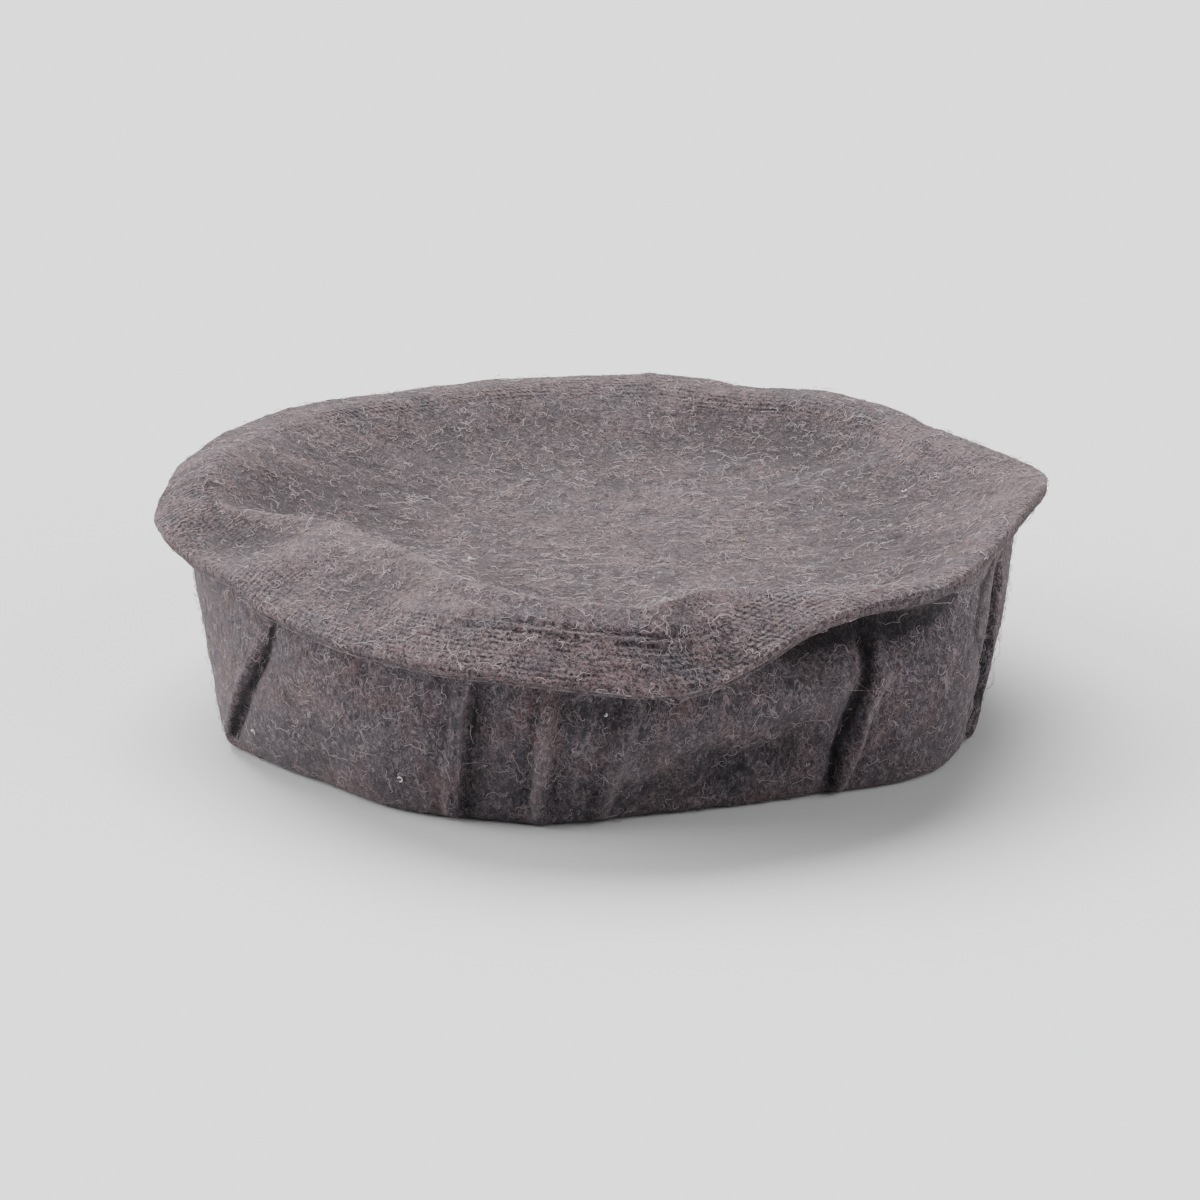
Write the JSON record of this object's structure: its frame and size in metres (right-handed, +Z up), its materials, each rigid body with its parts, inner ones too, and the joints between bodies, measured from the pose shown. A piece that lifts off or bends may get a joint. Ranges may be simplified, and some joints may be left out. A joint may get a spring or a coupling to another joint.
{
  "type": "pakol, a round wool cap",
  "caption": "Soft round wool cap standing on its foot: a dished crown disc with a stiff stitched rim over a tucked side band whose long edge is folded up inside.",
  "frame": {"origin": "middle of the foot, on the surface that the cap stands on", "axes": "+Z up through the crown, -Y towards the front of the picture, +X to its right"},
  "size_m": [0.2499, 0.242, 0.0662],
  "materials": {
    "wool_cloth": "matte fulled wool, dark brown-grey with lighter hairs"
  },
  "bodies": {
    "root": {"crown": "wool_cloth", "side_band": "wool_cloth"}
  },
  "joints": []
}
